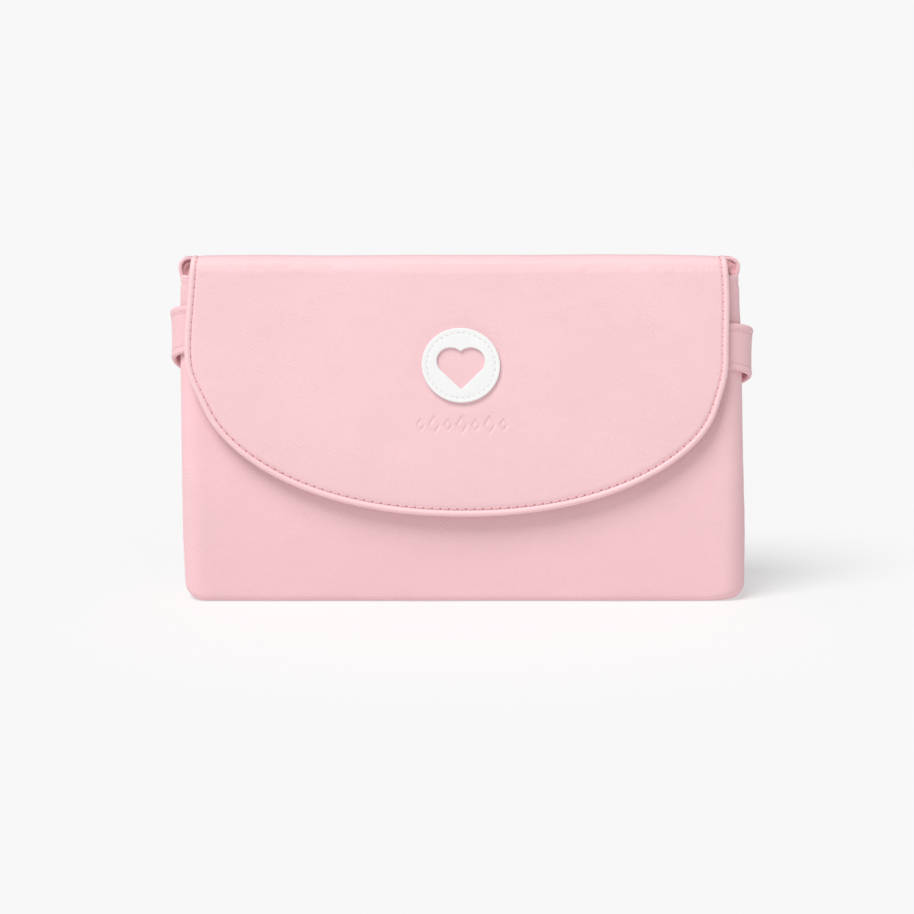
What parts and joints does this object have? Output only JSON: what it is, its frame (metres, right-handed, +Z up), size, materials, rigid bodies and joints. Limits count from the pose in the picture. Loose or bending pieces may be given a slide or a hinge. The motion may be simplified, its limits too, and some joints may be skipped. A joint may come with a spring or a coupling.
{
  "type": "changing pad",
  "caption": "Portable baby changing pad: a padded mat folded inside an upright leather-look clutch with a snap flap, a round patch and a carry strap at the back.",
  "frame": {"origin": "centre of the flat base that the clutch stands on", "axes": "+Z up, the flap and front panel face -Y, the carry strap's span is on the +Y side, +X to the viewer's right"},
  "size_m": [0.2812, 0.0612, 0.168],
  "materials": {
    "pink_leather": "matte fine grain PU",
    "lining_fabric": "woven polyester",
    "pocket_fabric": "fine mesh",
    "stiffener_board": "plain board",
    "snap_metal": "satin nickel",
    "white_patch": "matte",
    "strap_backing": "matte",
    "foam": "open cell foam",
    "mat_top": "wipe-clean coated fabric",
    "mat_back": "woven polyester",
    "mat_binding": "grosgrain tape"
  },
  "bodies": {
    "root": {"front_panel": "pink_leather", "back_panel": "pink_leather", "left_gusset": "pink_leather", "right_gusset": "pink_leather", "base_gusset": "pink_leather", "mouth_binding": "pink_leather", "pouch_lining": "lining_fabric", "back_stiffener": "stiffener_board", "base_stiffener": "stiffener_board", "inner_pocket": "pocket_fabric", "pocket_elastic": "lining_fabric", "snap_socket": "snap_metal", "snap_socket_washer": "snap_metal", "strap_end_left": "pink_leather", "strap_end_right": "pink_leather"},
    "fold": {"fold_strip": "pink_leather", "fold_lining": "lining_fabric"},
    "flap": {"flap_outer": "pink_leather", "flap_foam": "foam", "flap_lining": "lining_fabric", "flap_edge_roll": "pink_leather", "emblem_patch": "white_patch", "snap_stud": "snap_metal", "snap_stud_washer": "snap_metal"},
    "strap": {"strap_outer": "pink_leather", "strap_inner": "strap_backing"},
    "mat": {"mat_foam_1": "foam", "mat_foam_2": "foam", "mat_foam_3": "foam", "mat_foam_4": "foam", "mat_top_sheet": "mat_top", "mat_back_sheet": "mat_back", "mat_binding": "mat_binding"}
  },
  "joints": [
    {"name": "flap_fold", "type": "hinge", "parent": "root", "child": "fold", "pos_m": [0, 0.013, 0.1665], "axis": [-1, 0, 0], "range_deg": [0, 168]},
    {"name": "flap_turn", "type": "hinge", "parent": "fold", "child": "flap", "pos_m": [0, -0.019, 0.1665], "axis": [-1, 0, 0], "range_deg": [0, 168]},
    {"name": "mat_lift", "type": "slide", "parent": "root", "child": "mat", "axis": [0, 0, 1], "range_m": [0, 0.0965]},
    {"name": "strap_lift", "type": "hinge", "parent": "root", "child": "strap", "pos_m": [0, -0.012, 0.1277], "axis": [1, 0, 0], "range_deg": [0, 36]}
  ],
  "couplings": [
    {"joint": "flap_turn", "follows": "flap_fold", "ratio": 1},
    {"joint": "mat_lift", "follows": "flap_fold", "m_per_rad": 0.0327}
  ]
}
